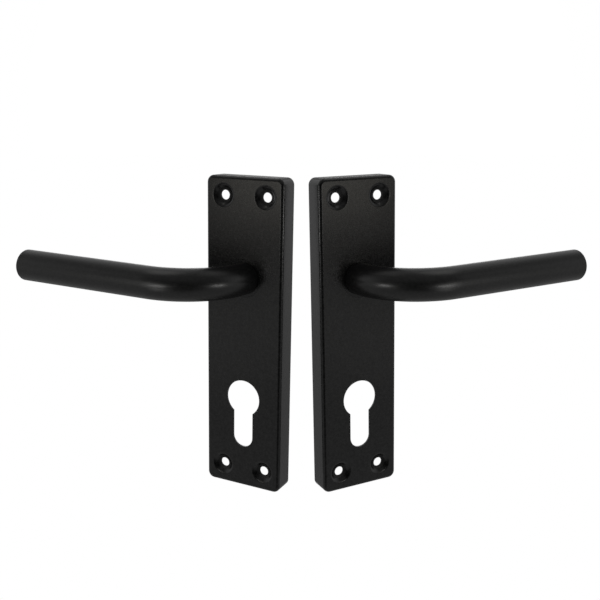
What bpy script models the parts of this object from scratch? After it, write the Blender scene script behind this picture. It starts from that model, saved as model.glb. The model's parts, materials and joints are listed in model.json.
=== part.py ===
"""Pair of lever handles on slim backplates with a cylinder cut-out, one half for each face of a door.

Each half is modelled flat: X across the plate, Y up it and Z out of its front face, with the origin
where the lever's axis meets that face. The halves then stand side by side, turned away from each
other, and the pair's own origin is the middle of its lowest level.
"""
import math

import bmesh
import bpy
from mathutils import Vector
from mathutils.geometry import intersect_point_line

MM = 0.001
GAP = 0.3 * MM

# Backplate, a thin casting that is open at the back
PLATE_WIDTH = 40.2 * MM
PLATE_HEIGHT = 151.25 * MM
PLATE_WALL = 1.3 * MM
PLATE_CORNER = 3.4 * MM
PLATE_EDGE = 2.0 * MM
CYLINDER_FROM_HUB = 58.9 * MM
CYLINDER_FROM_BOTTOM = 45.45 * MM
BACK_CLEARANCE = 0.2 * MM

# Dished fixing holes
HOLE_DIAMETER = 4.5 * MM
HOLE_FROM_SIDE = 9.1 * MM
HOLE_FROM_TOP = 8.9 * MM
HOLE_FROM_BOTTOM = 9.35 * MM
DISH_WIDTH = 3.6 * MM
DISH_DEPTH = 2.0 * MM
SEAT_THICKNESS = 0.6 * MM
DISH_RIM = 0.7 * MM

# Cut-out for a profile cylinder
CYLINDER_DIAMETER = 17.8 * MM
SLOT_WIDTH = 10.7 * MM
CUTOUT_HEIGHT = 33.8 * MM

# Lever, a round bar with one bend and a turned shank
BAR_DIAMETER = 15.0 * MM
BAR_REACH = 102.5 * MM
BEND_RADIUS = 30.4 * MM
NECK_STRAIGHT = 1.0 * MM
BAR_RISE = math.radians(0.6)
TIP_CHAMFER = 0.6 * MM
SHOULDER = 0.6 * MM
SOCKET_SIZE = 8.2 * MM
SOCKET_DEPTH = 15.5 * MM
FLAT_DEPTH = 0.6 * MM
GROOVE_DEPTH = 0.5 * MM
SHANK_LIP = 0.5 * MM

# Neck bush, whose rear sleeve carries the spring
BUSH_WALL = 0.8 * MM
BUSH_RECESS = 0.3 * MM
FLANGE_WIDTH = 2.6 * MM
FLANGE_THICKNESS = 1.2 * MM

# Return spring
WIRE_DIAMETER = 1.0 * MM
SPRING_CLEARANCE = 0.4 * MM
SPRING_FULL_TURNS = 1
COIL_GAP = 0.5 * MM
LEG_LENGTH = 8.0 * MM
LEG_CONTACT = 6.5 * MM
FIXED_LEG_ANGLE = math.radians(318)
FREE_LEG_ANGLE = math.radians(185)

# Drive plate, its stop finger and its spring lug
WASHER_THICKNESS = 0.5 * MM
DRIVE_THICKNESS = 1.2 * MM
DISC_MARGIN = 1.2 * MM
LUG_DIAMETER = 3.0 * MM
ARM_MARGIN = 0.8 * MM
FINGER_WIDTH = 5.0 * MM
FINGER_OVERLAP = 1.5 * MM
LEVER_TRAVEL = math.radians(45)

# Bosses on the plate, which stop the finger, hold the spring and take the cover's screws
BOSS_DIAMETER = 4.4 * MM
BOSS_CLEARANCE = 1.3 * MM
PILOT_SPARE = 1.0 * MM

# Circlip, cover and its screws
CIRCLIP_THICKNESS = 0.6 * MM
CIRCLIP_WIDTH = 1.6 * MM
CIRCLIP_OPENING = math.radians(50)
COVER_THICKNESS = 1.0 * MM
COVER_MARGIN = 2.0 * MM
COVER_SIDE_GAP = 2.2 * MM
COVER_CORNER = 7.0 * MM
COVER_WINDOW = 0.6 * MM
SCREW_DIAMETER = 1.8 * MM
SCREW_LENGTH = 4.5 * MM
HEAD_DIAMETER = 4.0 * MM
HEAD_THICKNESS = 1.0 * MM

# How the two halves stand beside each other
PAIR_GAP = 8.22 * MM
HALF_TURN = math.radians(25.9)
HALF_LEAN = math.radians(1.3)

# Facets
ROUND_STEPS = 28
FINE_STEPS = 16
DISH_STEPS = 20
ARC_STEPS = 5
EDGE_STEPS = 3
CURL_POINTS = 10
BEND_POINTS = 10
BAR_RESOLUTION = 8
WIRE_RESOLUTION = 1
ROUND = 0.5
SHARP_FROM = math.radians(35)
OVERLAP = 0.6 * MM
WELD = 0.001 * MM

# Radii that follow from the bar and what runs round it
BAR_R = BAR_DIAMETER / 2
SHANK_R = BAR_R - SHOULDER
GROOVE_R = SHANK_R - GROOVE_DEPTH
NECK_BORE_R = BAR_R + GAP
NECK_SLEEVE_R = NECK_BORE_R + BUSH_WALL
HUB_HOLE_R = NECK_SLEEVE_R + GAP
SHANK_BORE_R = SHANK_R + GAP
SPRING_SLEEVE_R = SHANK_BORE_R + BUSH_WALL
WIRE_R = WIRE_DIAMETER / 2
COIL_PITCH = WIRE_DIAMETER + COIL_GAP
COIL_SWEEP = SPRING_FULL_TURNS * math.tau + (FREE_LEG_ANGLE - FIXED_LEG_ANGLE) % math.tau
COIL_R = SPRING_SLEEVE_R + SPRING_CLEARANCE + WIRE_R
DISC_R = COIL_R + WIRE_R + DISC_MARGIN
LUG_R = LUG_DIAMETER / 2
BOSS_R = BOSS_DIAMETER / 2
STOP_R = DISC_R + BOSS_CLEARANCE + BOSS_R
SCREW_R = SCREW_DIAMETER / 2
CLIP_BORE_R = GROOVE_R + GAP
CLIP_R = CLIP_BORE_R + CIRCLIP_WIDTH
FLAT_AT = SHANK_R - FLAT_DEPTH
HOLE_R = HOLE_DIAMETER / 2
DISH_R = HOLE_R + DISH_WIDTH

# Levels behind the front face, each set by the one before it
FLANGE_FRONT = -PLATE_WALL - GAP
FLANGE_BACK = FLANGE_FRONT - FLANGE_THICKNESS
NECK_END = FLANGE_BACK + GAP
COIL_FRONT = FLANGE_BACK - GAP - WIRE_R
COIL_BACK = COIL_FRONT - COIL_PITCH * COIL_SWEEP / math.tau
DRIVE_FRONT = COIL_BACK - WIRE_R - GAP
WASHER_BACK = DRIVE_FRONT + GAP
WASHER_FRONT = WASHER_BACK + WASHER_THICKNESS
BUSH_END = WASHER_FRONT + GAP
DRIVE_BACK = DRIVE_FRONT - DRIVE_THICKNESS
CLIP_FRONT = DRIVE_BACK - GAP
CLIP_BACK = CLIP_FRONT - CIRCLIP_THICKNESS
SHANK_END = CLIP_BACK - GAP - SHANK_LIP
COVER_FRONT = DRIVE_BACK - GAP
COVER_BACK = COVER_FRONT - COVER_THICKNESS
BOSS_END = COVER_FRONT + GAP
HEAD_FRONT = COVER_BACK - GAP
HEAD_BACK = HEAD_FRONT - HEAD_THICKNESS
SCREW_TIP = HEAD_FRONT + SCREW_LENGTH
PLATE_BACK = min(HEAD_BACK, SHANK_END) - BACK_CLEARANCE

# Places on the plate, from the lever's axis
HALF_WIDTH = PLATE_WIDTH / 2
PLATE_BOTTOM = -CYLINDER_FROM_HUB - CYLINDER_FROM_BOTTOM
PLATE_TOP = PLATE_BOTTOM + PLATE_HEIGHT
HOLE_PLACES = [
    (side * (HALF_WIDTH - HOLE_FROM_SIDE), height)
    for height in (PLATE_TOP - HOLE_FROM_TOP, PLATE_BOTTOM + HOLE_FROM_BOTTOM)
    for side in (-1, 1)
]

# Half the distance between the two levers' axes
HALF_SPREAD = PAIR_GAP / 2 + HALF_WIDTH * math.cos(HALF_TURN) - PLATE_BACK * math.sin(HALF_TURN)


def polar(radius, angle):
    return Vector((radius * math.cos(angle), radius * math.sin(angle)))


def beside_leg(leg_angle, way, holder_radius):
    """Centre of a post on the outer side of a leg that leaves the coil on a tangent, way +1 or -1."""
    along = polar(LEG_CONTACT, leg_angle + way * math.pi / 2)
    return polar(COIL_R + WIRE_R + GAP + holder_radius, leg_angle) + along


# The finger swings evenly to both sides of upright, between two bosses
FINGER_REST = math.pi / 2 - LEVER_TRAVEL / 2
STOP_OFFSET = math.asin((FINGER_WIDTH / 2 + GAP + BOSS_R) / STOP_R)
LUG_PLACE = beside_leg(FREE_LEG_ANGLE, 1, LUG_R)
BOSS_PLACES = [
    polar(STOP_R, FINGER_REST - STOP_OFFSET),
    polar(STOP_R, FINGER_REST + LEVER_TRAVEL + STOP_OFFSET),
    beside_leg(FIXED_LEG_ANGLE, -1, BOSS_R),
]


def clear_scene():
    for item in list(bpy.data.objects):
        bpy.data.objects.remove(item)


def new_collection(name):
    collection = bpy.data.collections.new(name)
    bpy.context.scene.collection.children.link(collection)
    return collection


def new_material(name, colour, roughness, metallic):
    material = bpy.data.materials.new(name)
    material.use_nodes = True
    shader = material.node_tree.nodes["Principled BSDF"]
    shader.inputs["Base Color"].default_value = (*colour, 1.0)
    shader.inputs["Roughness"].default_value = roughness
    shader.inputs["Metallic"].default_value = metallic
    return material


def new_frame(name, parent=None):
    frame = bpy.data.objects.new(name, None)
    PARTS.objects.link(frame)
    frame.parent = parent
    return frame


def new_part(name, mesh, frame, material):
    """One physical piece: a named object that stands in the frame it moves with."""
    part = bpy.data.objects.new(name, mesh)
    PARTS.objects.link(part)
    part.parent = frame
    mesh.materials.append(material)
    mesh.shade_smooth()
    mesh.set_sharp_from_angle(angle=SHARP_FROM)
    return part


def new_tool(name, mesh, frame):
    """A shape that only cuts or adds to a part."""
    tool = bpy.data.objects.new(name, mesh)
    TOOLS.objects.link(tool)
    tool.parent = frame
    tool.hide_render = True
    tool.display_type = "WIRE"
    return tool


def boolean(part, tool, operation):
    modifier = part.modifiers.new(tool.name, "BOOLEAN")
    modifier.operation = operation
    modifier.solver = "EXACT"
    modifier.object = tool


def mesh_from(build, name):
    """A mesh whose faces are made by build on an empty bmesh."""
    mesh = bpy.data.meshes.new(name)
    shape = bmesh.new()
    build(shape)
    bmesh.ops.recalc_face_normals(shape, faces=shape.faces)
    shape.to_mesh(mesh)
    shape.free()
    return mesh


def box_mesh(name, low, high, corner=0.0, front_edge=0.0):
    """A block between two corners, with round upright edges and a round front edge where asked."""

    def build(shape):
        bmesh.ops.create_cube(shape, size=1.0)
        size = Vector(high) - Vector(low)
        bmesh.ops.scale(shape, vec=size, verts=shape.verts)
        bmesh.ops.translate(shape, vec=(Vector(high) + Vector(low)) / 2, verts=shape.verts)
        if corner:
            upright = [e for e in shape.edges if abs(e.verts[0].co.z - e.verts[1].co.z) > size.z / 2]
            bmesh.ops.bevel(
                shape, geom=upright, offset=corner, segments=ARC_STEPS, affect="EDGES", profile=ROUND
            )
        if front_edge:
            front = [e for e in shape.edges if min(v.co.z for v in e.verts) > high[2] - WELD]
            bmesh.ops.bevel(
                shape, geom=front, offset=front_edge, segments=EDGE_STEPS, affect="EDGES", profile=ROUND
            )

    return mesh_from(build, name)


def rod_mesh(name, place, radius, front, back, steps=ROUND_STEPS):
    """A round rod along Z at place, from level front down to level back."""

    def build(shape):
        bmesh.ops.create_cone(
            shape, cap_ends=True, segments=steps, radius1=radius, radius2=radius, depth=front - back
        )
        bmesh.ops.translate(shape, vec=(*place, (front + back) / 2), verts=shape.verts)

    return mesh_from(build, name)


def profile_mesh(name, points, closed):
    """The edges of a turned shape, as radius and level from the front down its outer side."""
    mesh = bpy.data.meshes.new(name)
    edges = [(i, i + 1) for i in range(len(points) - 1)]
    if closed:
        edges.append((len(points) - 1, 0))
    mesh.from_pydata([(radius, 0.0, level) for radius, level in points], edges, [])
    return mesh


def turn(item, steps):
    """Turns an object's profile about its Z axis."""
    screw = item.modifiers.new("turn", "SCREW")
    screw.axis = "Z"
    screw.steps = steps
    screw.render_steps = steps
    screw.use_merge_vertices = True
    screw.merge_threshold = WELD
    screw.use_smooth_shade = True


def mesh_of_curve(curve):
    """The closed mesh of a curve, with its caps welded on."""
    item = bpy.data.objects.new(curve.name, curve)
    bpy.context.scene.collection.objects.link(item)
    bpy.context.view_layer.update()
    evaluated = item.evaluated_get(bpy.context.evaluated_depsgraph_get())
    mesh = bpy.data.meshes.new_from_object(evaluated)
    shape = bmesh.new()
    shape.from_mesh(mesh)
    bmesh.ops.remove_doubles(shape, verts=shape.verts, dist=WELD)
    bmesh.ops.recalc_face_normals(shape, faces=shape.faces)
    shape.to_mesh(mesh)
    shape.free()
    bpy.data.objects.remove(item)
    return mesh


def add_spline(curve, points, cyclic, radii=None):
    spline = curve.splines.new("POLY")
    spline.points.add(len(points) - 1)
    for index, point in enumerate(points):
        place = tuple(point) + (0.0,) * (3 - len(point))
        spline.points[index].co = (*place, 1.0)
        if radii:
            spline.points[index].radius = radii[index]
    spline.use_cyclic_u = cyclic


def flat_mesh(name, outlines, front, back):
    """A flat plate between two levels; the first outline is its edge and the others are its holes."""
    curve = bpy.data.curves.new(name, "CURVE")
    curve.dimensions = "2D"
    curve.fill_mode = "BOTH"
    curve.extrude = (front - back) / 2
    for outline in outlines:
        add_spline(curve, outline, True)
    mesh = mesh_of_curve(curve)
    for vertex in mesh.vertices:
        vertex.co.z += (front + back) / 2
    return mesh


def tube_mesh(name, points, radius, resolution, radii=None):
    """A round tube along points, with filled ends."""
    curve = bpy.data.curves.new(name, "CURVE")
    curve.dimensions = "3D"
    curve.bevel_depth = radius
    curve.bevel_resolution = resolution
    curve.use_fill_caps = True
    add_spline(curve, points, False, radii)
    return mesh_of_curve(curve)


def arc(centre, radius, start, end, steps):
    return [Vector(centre) + polar(radius, start + (end - start) * i / steps) for i in range(steps + 1)]


def circle(centre, radius, steps):
    return arc(centre, radius, 0.0, math.tau, steps)[:-1]


def flip_x(points, flip):
    return [Vector((flip * point[0], *point[1:])) for point in points]


def cutout_outline():
    """Keyhole outline of a profile cylinder: a circle over a slot with a round foot."""
    centre = Vector((0.0, -CYLINDER_FROM_HUB))
    radius = CYLINDER_DIAMETER / 2
    half_slot = SLOT_WIDTH / 2
    mouth = math.asin(half_slot / radius)
    foot = centre + Vector((0.0, radius - CUTOUT_HEIGHT + half_slot))
    upper = arc(centre, radius, mouth - math.pi / 2, 1.5 * math.pi - mouth, 4 * ARC_STEPS)
    lower = arc(foot, half_slot, math.pi, math.tau, 2 * ARC_STEPS)
    return upper + lower


def dish_profile():
    """Fixing hole with a soft dish: an even S from the face down to a flat seat, then the bore."""
    below = DISH_DEPTH + SEAT_THICKNESS + OVERLAP
    points = [(0.0, OVERLAP), (DISH_R, OVERLAP)]
    for i in range(ARC_STEPS + 1):
        share = i / ARC_STEPS
        fall = (1 - math.cos(math.pi * share)) / 2
        points.append((DISH_R - DISH_WIDTH * share, -WELD - DISH_DEPTH * fall))
    points.append((HOLE_R, -below))
    points.append((0.0, -below))
    return points


def make_backplate(half):
    """Cast shell with its fixing holes, cylinder cut-out, hub hole and inner bosses."""
    name = half["name"]
    frame = half["frame"]
    shell = box_mesh(
        "backplate",
        (-HALF_WIDTH, PLATE_BOTTOM, PLATE_BACK),
        (HALF_WIDTH, PLATE_TOP, 0.0),
        PLATE_CORNER,
        PLATE_EDGE,
    )
    plate = new_part("backplate_" + name, shell, frame, COATING)
    hollow = box_mesh(
        "hollow",
        (PLATE_WALL - HALF_WIDTH, PLATE_BOTTOM + PLATE_WALL, 2 * PLATE_BACK),
        (HALF_WIDTH - PLATE_WALL, PLATE_TOP - PLATE_WALL, -PLATE_WALL),
        PLATE_CORNER - PLATE_WALL,
        PLATE_EDGE - PLATE_WALL,
    )
    boolean(plate, new_tool("hollow_" + name, hollow, frame), "DIFFERENCE")

    root = -PLATE_WALL / 2
    for index, place in enumerate(HOLE_PLACES):
        seat = rod_mesh("seat", place, DISH_R + DISH_RIM, root, -DISH_DEPTH - SEAT_THICKNESS, DISH_STEPS)
        boolean(plate, new_tool(f"seat_{name}_{index}", seat, frame), "UNION")
    for index, place in enumerate(flip_x(BOSS_PLACES, half["flip"])):
        boss = rod_mesh("boss", place, BOSS_R, root, BOSS_END, FINE_STEPS)
        boolean(plate, new_tool(f"boss_{name}_{index}", boss, frame), "UNION")
        pilot = rod_mesh("pilot", place, SCREW_R + GAP, SCREW_TIP + PILOT_SPARE, 2 * BOSS_END, FINE_STEPS)
        boolean(plate, new_tool(f"pilot_{name}_{index}", pilot, frame), "DIFFERENCE")

    for index, place in enumerate(HOLE_PLACES):
        dish = new_tool(f"dish_{name}_{index}", profile_mesh("dish", dish_profile(), False), frame)
        dish.location = (*place, 0.0)
        turn(dish, DISH_STEPS)
        boolean(plate, dish, "DIFFERENCE")
    hub = rod_mesh("hub_hole", (0.0, 0.0), HUB_HOLE_R, OVERLAP, -PLATE_WALL - OVERLAP)
    boolean(plate, new_tool("hub_hole_" + name, hub, frame), "DIFFERENCE")
    cutout = flat_mesh("cutout", [cutout_outline()], OVERLAP, -PLATE_WALL - OVERLAP)
    boolean(plate, new_tool("cutout_" + name, cutout, frame), "DIFFERENCE")


def make_bush(half):
    """Flanged bush behind the front wall: its nose lines the hub hole, its sleeve carries the spring."""
    points = [
        (NECK_SLEEVE_R, -BUSH_RECESS),
        (NECK_SLEEVE_R, FLANGE_FRONT),
        (NECK_SLEEVE_R + FLANGE_WIDTH, FLANGE_FRONT),
        (NECK_SLEEVE_R + FLANGE_WIDTH, FLANGE_BACK),
        (SPRING_SLEEVE_R, FLANGE_BACK),
        (SPRING_SLEEVE_R, BUSH_END),
        (SHANK_BORE_R, BUSH_END),
        (SHANK_BORE_R, FLANGE_BACK),
        (NECK_BORE_R, FLANGE_BACK),
        (NECK_BORE_R, -BUSH_RECESS),
    ]
    profile = profile_mesh("neck_bush", points, True)
    bush = new_part("neck_bush_" + half["name"], profile, half["frame"], NYLON)
    turn(bush, ROUND_STEPS)


def bar_route(flip):
    """Centreline of the bar and the share of its full radius at each point, from the neck to the tip."""
    bend_centre = Vector((-BEND_RADIUS, NECK_STRAIGHT))
    bend = arc(bend_centre, BEND_RADIUS, 0.0, math.pi / 2, BEND_POINTS)
    height = NECK_STRAIGHT + BEND_RADIUS
    route = [Vector((0.0, NECK_END))] + bend
    route += [Vector((TIP_CHAMFER - BAR_REACH, height)), Vector((-BAR_REACH, height))]
    radii = [1.0] * (len(route) - 1) + [1.0 - TIP_CHAMFER / BAR_R]
    rise = math.tan(BAR_RISE)
    return [Vector((flip * across, -across * rise, level)) for across, level in route], radii


def make_lever(half):
    """Bent round bar with a turned shank: two flats, a groove and a square socket for the spindle."""
    name = half["name"]
    frame = half["lever_frame"]
    route, radii = bar_route(half["flip"])
    bar = tube_mesh("lever", route, BAR_R, BAR_RESOLUTION, radii)
    lever = new_part("lever_" + name, bar, frame, COATING)

    shank = [
        (0.0, NECK_END + OVERLAP),
        (SHANK_R, NECK_END + OVERLAP),
        (SHANK_R, DRIVE_BACK),
        (GROOVE_R, DRIVE_BACK),
        (GROOVE_R, CLIP_BACK - GAP),
        (SHANK_R, CLIP_BACK - GAP),
        (SHANK_R, SHANK_END),
        (0.0, SHANK_END),
    ]
    shank_tool = new_tool("shank_" + name, profile_mesh("shank", shank, False), frame)
    turn(shank_tool, ROUND_STEPS)
    boolean(lever, shank_tool, "UNION")
    for side in (-1, 1):
        near = side * FLAT_AT
        far = side * 2 * SHANK_R
        flat = box_mesh(
            "flat",
            (min(near, far), -2 * SHANK_R, 2 * SHANK_END),
            (max(near, far), 2 * SHANK_R, WASHER_BACK),
        )
        boolean(lever, new_tool(f"flat_{name}_{side}", flat, frame), "DIFFERENCE")
    half_socket = SOCKET_SIZE / 2
    socket = box_mesh(
        "socket",
        (-half_socket, -half_socket, 2 * SHANK_END),
        (half_socket, half_socket, SHANK_END + SOCKET_DEPTH),
    )
    boolean(lever, new_tool("socket_" + name, socket, frame), "DIFFERENCE")


def spring_route(flip):
    """Torsion spring: the fixed leg, the coil and the free leg, as one line."""
    steps = math.ceil(CURL_POINTS * COIL_SWEEP / math.tau)
    coil = []
    for i in range(steps + 1):
        level = COIL_FRONT + (COIL_BACK - COIL_FRONT) * i / steps
        coil.append(Vector((*polar(COIL_R, FIXED_LEG_ANGLE + COIL_SWEEP * i / steps), level)))
    fixed_end = coil[0] + Vector((*polar(LEG_LENGTH, FIXED_LEG_ANGLE - math.pi / 2), 0.0))
    free_end = coil[-1] + Vector((*polar(LEG_LENGTH, FREE_LEG_ANGLE + math.pi / 2), 0.0))
    return flip_x([fixed_end] + coil + [free_end], flip)


def least_gap(points, wire):
    """Least clear distance between turns, from each point to the stretches half a curl or more along."""
    apart = CURL_POINTS // 2
    lengths = []
    for index, point in enumerate(points):
        later = points[index + apart:]
        for start, end in zip(later, later[1:]):
            share = intersect_point_line(point, start, end)[1]
            lengths.append((point - start.lerp(end, min(max(share, 0.0), 1.0))).length)
    return min(lengths) - wire


def make_spring(half):
    name = "return_spring_" + half["name"]
    route = spring_route(half["flip"])
    print(f"{name}: least gap between turns {least_gap(route, WIRE_DIAMETER) / MM:.2f} mm")
    wire = tube_mesh("spring", route, WIRE_R, WIRE_RESOLUTION)
    new_part(name, wire, half["frame"], SPRING_STEEL)


def make_washer(half):
    points = [
        (SPRING_SLEEVE_R, WASHER_FRONT),
        (SPRING_SLEEVE_R, WASHER_BACK),
        (SHANK_BORE_R, WASHER_BACK),
        (SHANK_BORE_R, WASHER_FRONT),
    ]
    profile = profile_mesh("washer", points, True)
    washer = new_part("thrust_washer_" + half["name"], profile, half["lever_frame"], BRIGHT_STEEL)
    turn(washer, ROUND_STEPS)


def shank_hole():
    """Round hole with two flats that keys the drive plate to the shank."""
    radius = SHANK_BORE_R
    corner = math.acos((FLAT_AT + GAP) / radius)
    right = arc((0.0, 0.0), radius, corner, math.pi - corner, 2 * ARC_STEPS)
    left = arc((0.0, 0.0), radius, math.pi + corner, math.tau - corner, 2 * ARC_STEPS)
    return right + left


def drive_outline():
    """Disc with two arms: the stop finger and the arm of the spring lug."""
    lug_angle = math.atan2(LUG_PLACE.y, LUG_PLACE.x)
    arms = sorted(
        [
            (FINGER_REST, FINGER_WIDTH / 2, STOP_R + FINGER_OVERLAP),
            (lug_angle % math.tau, LUG_R + ARM_MARGIN, LUG_PLACE.length + LUG_R + ARM_MARGIN),
        ]
    )
    outline = []
    for index, (angle, half_width, reach) in enumerate(arms):
        out = polar(1.0, angle)
        across = polar(1.0, angle + math.pi / 2)
        outline.append(out * reach - across * half_width)
        outline.append(out * reach + across * half_width)
        next_angle, next_half, _ = arms[(index + 1) % len(arms)]
        start = angle + math.asin(half_width / DISC_R)
        end = next_angle - math.asin(next_half / DISC_R)
        if end < start:
            end += math.tau
        outline += arc((0.0, 0.0), DISC_R, start, end, 2 * ARC_STEPS)
    return outline


def make_drive_plate(half):
    """Plate keyed to the shank that meets the stops and winds the spring."""
    name = half["name"]
    frame = half["lever_frame"]
    outlines = [flip_x(drive_outline(), half["flip"]), shank_hole()]
    blank = flat_mesh("drive_plate", outlines, DRIVE_FRONT, DRIVE_BACK)
    plate = new_part("drive_plate_" + name, blank, frame, PLATED_STEEL)
    place = flip_x([LUG_PLACE], half["flip"])[0]
    middle = (DRIVE_FRONT + DRIVE_BACK) / 2
    lug = rod_mesh("lug", place, LUG_R, COIL_BACK + WIRE_DIAMETER, middle, FINE_STEPS)
    boolean(plate, new_tool("lug_" + name, lug, frame), "UNION")


def make_circlip(half):
    """Open ring in the shank's groove, with its opening downwards."""
    start = CIRCLIP_OPENING / 2 - math.pi / 2
    end = 1.5 * math.pi - CIRCLIP_OPENING / 2
    outer = arc((0.0, 0.0), CLIP_R, start, end, 4 * ARC_STEPS)
    inner = arc((0.0, 0.0), CLIP_BORE_R, end, start, 4 * ARC_STEPS)
    ring = flat_mesh("circlip", [outer + inner], CLIP_FRONT, CLIP_BACK)
    new_part("circlip_" + half["name"], ring, half["lever_frame"], SPRING_STEEL)


def make_cover(half):
    """Sheet cover over the spring and the drive plate, screwed to the bosses."""
    across = HALF_WIDTH - PLATE_WALL - COVER_SIDE_GAP - COVER_CORNER
    up = STOP_R + COVER_MARGIN - COVER_CORNER
    edge = []
    for quarter, (way_x, way_y) in enumerate(((1, 1), (-1, 1), (-1, -1), (1, -1))):
        start = quarter * math.pi / 2
        edge += arc((way_x * across, way_y * up), COVER_CORNER, start, start + math.pi / 2, ARC_STEPS)
    holes = [circle((0.0, 0.0), CLIP_R + COVER_WINDOW, ROUND_STEPS)]
    holes += [circle(place, SCREW_R + GAP, FINE_STEPS) for place in flip_x(BOSS_PLACES, half["flip"])]
    sheet = flat_mesh("spring_cover", [edge] + holes, COVER_FRONT, COVER_BACK)
    new_part("spring_cover_" + half["name"], sheet, half["frame"], PLATED_STEEL)


def make_cover_screws(half):
    profile = [
        (0.0, SCREW_TIP),
        (SCREW_R, SCREW_TIP),
        (SCREW_R, HEAD_FRONT),
        (HEAD_DIAMETER / 2, HEAD_FRONT),
        (HEAD_DIAMETER / 2, HEAD_BACK),
        (0.0, HEAD_BACK),
    ]
    for index, place in enumerate(flip_x(BOSS_PLACES, half["flip"])):
        name = f"cover_screw_{half['name']}_{index + 1}"
        screw = new_part(name, profile_mesh("cover_screw", profile, False), half["frame"], BRIGHT_STEEL)
        screw.location = (*place, 0.0)
        turn(screw, FINE_STEPS)


def new_half(name, flip, pair):
    """Frame of one half and of its lever; flip is +1 where the other half is towards +X."""
    frame = new_frame(name + "_half", pair)
    frame.rotation_mode = "XZY"
    frame.rotation_euler = (math.pi / 2, flip * HALF_LEAN, -flip * HALF_TURN)
    frame.location.x = -flip * HALF_SPREAD
    lever_frame = new_frame(name + "_lever_axis", frame)
    return {"name": name, "flip": flip, "frame": frame, "lever_frame": lever_frame}


def seat_pair(pair):
    """Moves the pair so that the middle of its lowest level is the origin."""
    bpy.context.view_layer.update()
    graph = bpy.context.evaluated_depsgraph_get()
    points = []
    for part in PARTS.objects:
        if part.type == "MESH":
            seen = part.evaluated_get(graph)
            points += [seen.matrix_world @ vertex.co for vertex in seen.data.vertices]
    low = Vector(map(min, zip(*points)))
    high = Vector(map(max, zip(*points)))
    pair.location = (-(low.x + high.x) / 2, -(low.y + high.y) / 2, -low.z)
    bpy.context.view_layer.update()


clear_scene()
PARTS = new_collection("lever_handle_pair")
TOOLS = new_collection("cutting_shapes")
COATING = new_material("black_coating", (0.018, 0.018, 0.019), 0.42, 0.0)
NYLON = new_material("black_nylon", (0.022, 0.022, 0.023), 0.6, 0.0)
SPRING_STEEL = new_material("spring_steel", (0.24, 0.23, 0.22), 0.38, 1.0)
PLATED_STEEL = new_material("plated_steel", (0.56, 0.56, 0.55), 0.42, 1.0)
BRIGHT_STEEL = new_material("bright_steel", (0.62, 0.62, 0.61), 0.3, 1.0)

pair_frame = new_frame("pair")
for half_name, half_flip in (("left", 1), ("right", -1)):
    one_half = new_half(half_name, half_flip, pair_frame)
    make_backplate(one_half)
    make_bush(one_half)
    make_lever(one_half)
    make_spring(one_half)
    make_washer(one_half)
    make_drive_plate(one_half)
    make_circlip(one_half)
    make_cover(one_half)
    make_cover_screws(one_half)
seat_pair(pair_frame)
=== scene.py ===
"""Finish, light and view of a pair of lever handles on backplates.

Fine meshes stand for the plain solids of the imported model. Each is made once, in the axes of the left
half (X across the plate, Y up it, Z out of its face, origin where the lever's axis meets that face), and
mirrored into the right half.
"""
import json
import math

import bmesh
import bpy
from mathutils import Matrix, Vector

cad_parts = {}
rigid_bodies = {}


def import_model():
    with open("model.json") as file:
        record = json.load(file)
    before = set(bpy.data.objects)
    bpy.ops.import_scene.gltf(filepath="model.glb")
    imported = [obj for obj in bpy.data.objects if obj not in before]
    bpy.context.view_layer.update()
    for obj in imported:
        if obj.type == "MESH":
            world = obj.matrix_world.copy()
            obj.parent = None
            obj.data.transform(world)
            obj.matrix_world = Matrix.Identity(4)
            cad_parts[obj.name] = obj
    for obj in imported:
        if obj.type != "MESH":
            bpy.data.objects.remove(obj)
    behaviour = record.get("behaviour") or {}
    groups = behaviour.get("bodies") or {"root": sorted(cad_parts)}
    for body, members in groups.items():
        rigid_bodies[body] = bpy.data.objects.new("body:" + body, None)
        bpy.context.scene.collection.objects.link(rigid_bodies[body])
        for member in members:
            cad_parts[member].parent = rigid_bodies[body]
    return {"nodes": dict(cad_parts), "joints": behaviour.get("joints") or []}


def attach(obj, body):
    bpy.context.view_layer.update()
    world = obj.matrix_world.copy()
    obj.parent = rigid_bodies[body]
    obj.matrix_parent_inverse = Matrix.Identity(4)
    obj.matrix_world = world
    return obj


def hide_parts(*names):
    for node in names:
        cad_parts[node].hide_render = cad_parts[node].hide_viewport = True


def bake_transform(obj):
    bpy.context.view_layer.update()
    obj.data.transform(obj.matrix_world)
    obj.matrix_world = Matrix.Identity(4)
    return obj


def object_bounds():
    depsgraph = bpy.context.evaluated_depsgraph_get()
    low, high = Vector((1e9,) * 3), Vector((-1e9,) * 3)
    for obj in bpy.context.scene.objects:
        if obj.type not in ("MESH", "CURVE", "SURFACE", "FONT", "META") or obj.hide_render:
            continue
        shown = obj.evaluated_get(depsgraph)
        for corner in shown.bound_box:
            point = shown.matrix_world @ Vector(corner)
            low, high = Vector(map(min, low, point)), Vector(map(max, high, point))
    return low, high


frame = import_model()
cad_low, cad_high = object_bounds()

MM = 0.001
GAP = 0.3 * MM
OVERLAP = 0.6 * MM
WELD = 0.001 * MM

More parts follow.
